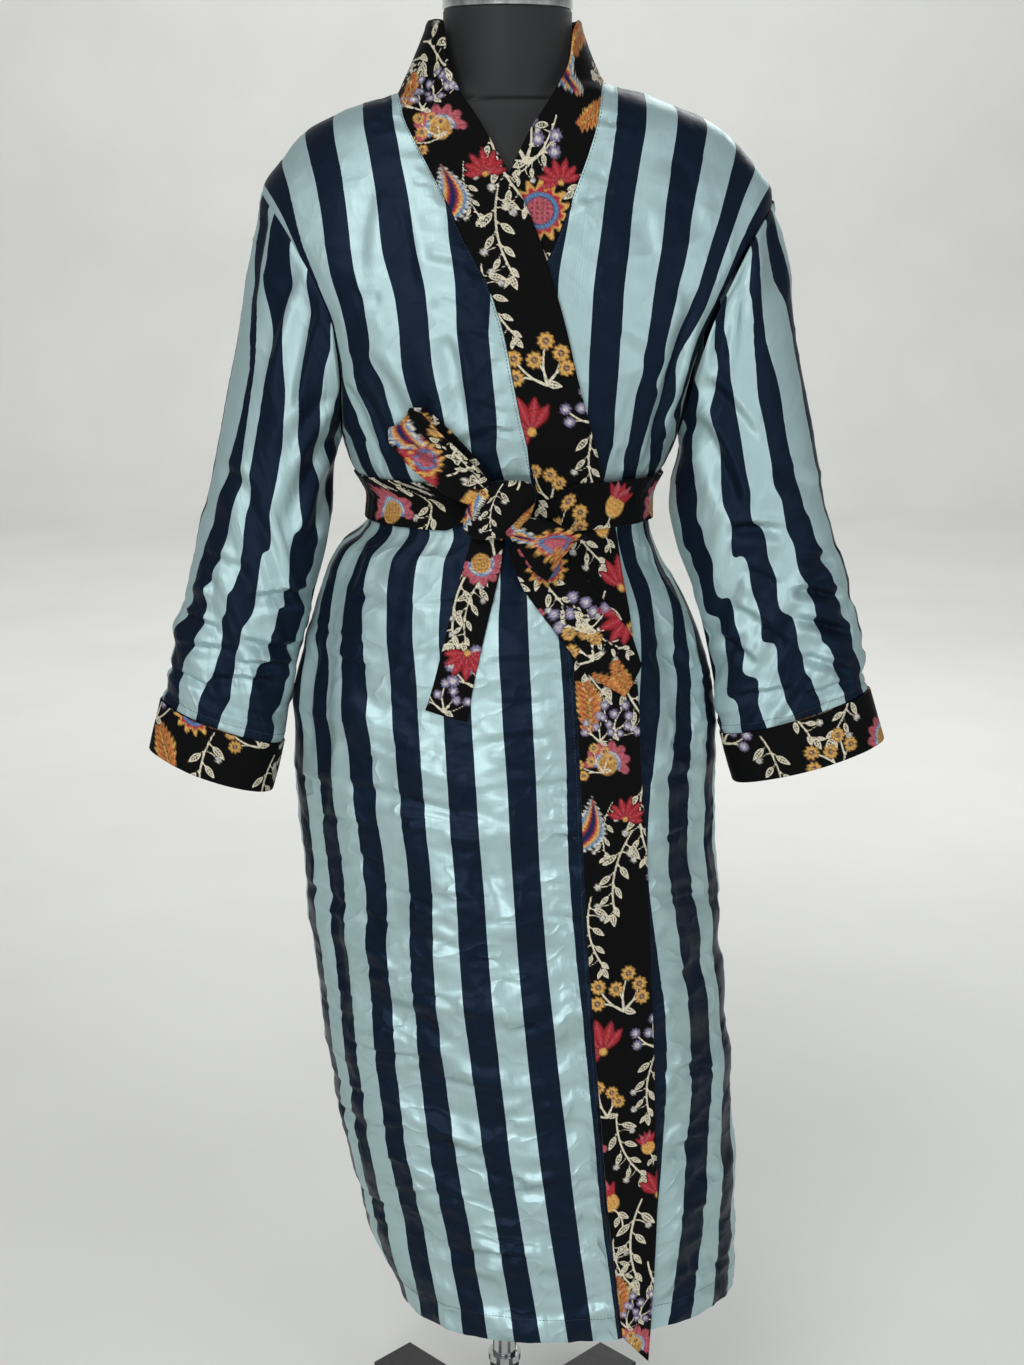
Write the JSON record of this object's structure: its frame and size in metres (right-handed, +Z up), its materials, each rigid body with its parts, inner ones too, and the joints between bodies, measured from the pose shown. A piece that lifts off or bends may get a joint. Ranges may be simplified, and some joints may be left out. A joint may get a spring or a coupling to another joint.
{
  "type": "kimono robe on a limbless dress form",
  "caption": "Long wrapped striped satin kimono robe with velvet front band, cuffs and tied belt, worn by a limbless dress form on a pole and crossed stand.",
  "frame": {"origin": "on the floor under the pole of the form, in the middle of the crossed stand", "axes": "+Z up along the pole; the robe's front faces -Y; +X points to the wearer's left"},
  "size_m": [0.711, 0.3006, 1.5303],
  "materials": {
    "striped_satin": "glossy satin, pale teal and navy stripes about 30 mm wide",
    "floral_velvet": "black cotton velvet with a printed flower pattern",
    "form_cover": "charcoal jersey stretched smooth",
    "polished_steel": "polished",
    "black_paint": "semi-gloss black",
    "foot_rubber": "matt"
  },
  "bodies": {
    "stand": {"socket_tube": "black_paint", "socket_rim": "polished_steel", "hub": "black_paint", "base_plate": "black_paint", "leg_1": "black_paint", "leg_2": "black_paint", "leg_3": "black_paint", "leg_4": "black_paint", "foot_1": "foot_rubber", "foot_2": "foot_rubber", "foot_3": "foot_rubber", "foot_4": "foot_rubber", "leg_bolt_1": "polished_steel", "leg_bolt_2": "polished_steel", "leg_bolt_3": "polished_steel", "leg_bolt_4": "polished_steel"},
    "pole": {"pole": "polished_steel"},
    "form": {"front_right": "striped_satin", "front_left": "striped_satin", "back": "striped_satin", "sleeve_right": "striped_satin", "sleeve_left": "striped_satin", "band_right": "floral_velvet", "band_left": "floral_velvet", "band_neck": "floral_velvet", "cuff_right": "floral_velvet", "cuff_left": "floral_velvet", "belt_waist": "floral_velvet", "belt_knot": "floral_velvet", "belt_loop_long": "floral_velvet", "belt_loop_short": "floral_velvet", "belt_tail_right": "floral_velvet", "belt_tail_left": "floral_velvet", "form_torso": "form_cover", "neck_cap": "polished_steel"}
  },
  "joints": [
    {"name": "pole_height", "type": "slide", "parent": "stand", "child": "pole", "axis": [0, 0, 1], "range_m": [-0.045, 0.035]},
    {"name": "form_turn", "type": "hinge", "parent": "pole", "child": "form", "pos_m": [0, 0, 0.795], "axis": [0, 0, 1], "continuous": true}
  ]
}
